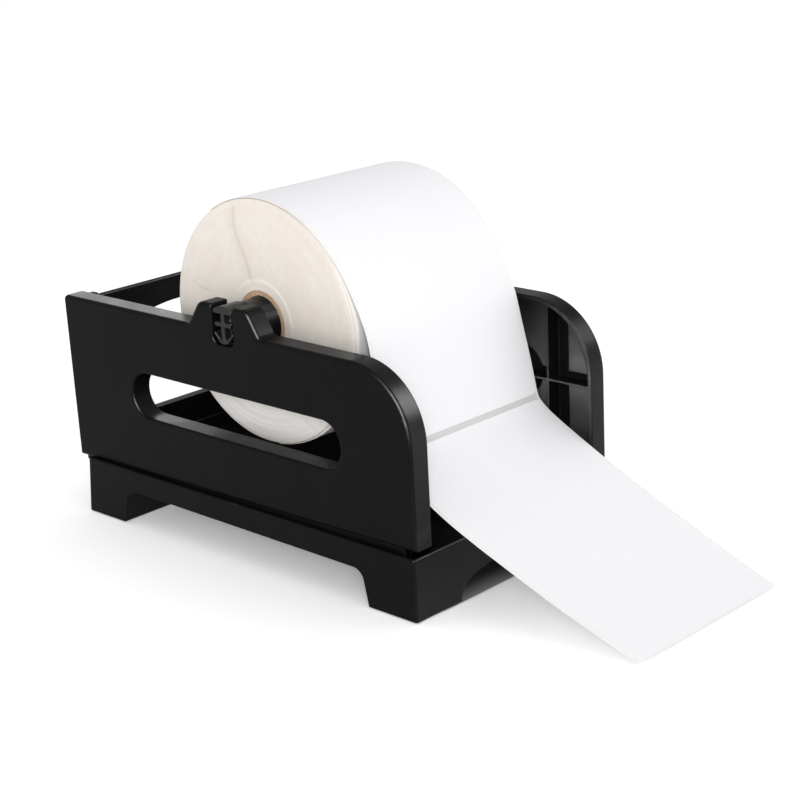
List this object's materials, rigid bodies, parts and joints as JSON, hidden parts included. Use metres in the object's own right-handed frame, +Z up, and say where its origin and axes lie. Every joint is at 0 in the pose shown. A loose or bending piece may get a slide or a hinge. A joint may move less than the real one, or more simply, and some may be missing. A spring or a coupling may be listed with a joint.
{
  "type": "label roll stand",
  "caption": "Free-standing desktop stand that holds a wound roll of thermal shipping labels on a lift-out spindle and lets them run out over the front of its tray.",
  "frame": {"origin": "on the table under the middle of the whole footprint, labels included", "axes": "+X to the right panel, -Y to the front where the labels leave, +Z up"},
  "size_m": [0.146, 0.347, 0.1761],
  "materials": {
    "black_plastic": "fine satin moulded",
    "spindle_plastic": "fine satin moulded",
    "pad_rubber": "matte",
    "core_card": "raw kraft",
    "wound_paper": "cut paper edges, smooth outside",
    "liner_paper": "smooth release liner",
    "label_paper": "smooth thermal coating"
  },
  "bodies": {
    "stand": {"base_tray": "black_plastic", "foot_pads": "pad_rubber", "left_side_panel": "black_plastic", "right_side_panel": "black_plastic", "rear_frame": "black_plastic"},
    "spindle": {"spindle_tube": "spindle_plastic", "left_spindle_key": "spindle_plastic", "right_spindle_key": "spindle_plastic", "liner_web": "liner_paper", "front_label": "label_paper", "next_label": "label_paper"},
    "roll": {"cardboard_core": "core_card", "label_roll": "wound_paper"}
  },
  "joints": [
    {"name": "spindle_lift", "type": "slide", "parent": "stand", "child": "spindle", "axis": [0, 0, 1], "range_m": [0, 0.06]},
    {"name": "roll_spin", "type": "hinge", "parent": "spindle", "child": "roll", "pos_m": [0.0045, 0.04675, 0.1154], "axis": [1, 0, 0], "continuous": true}
  ]
}
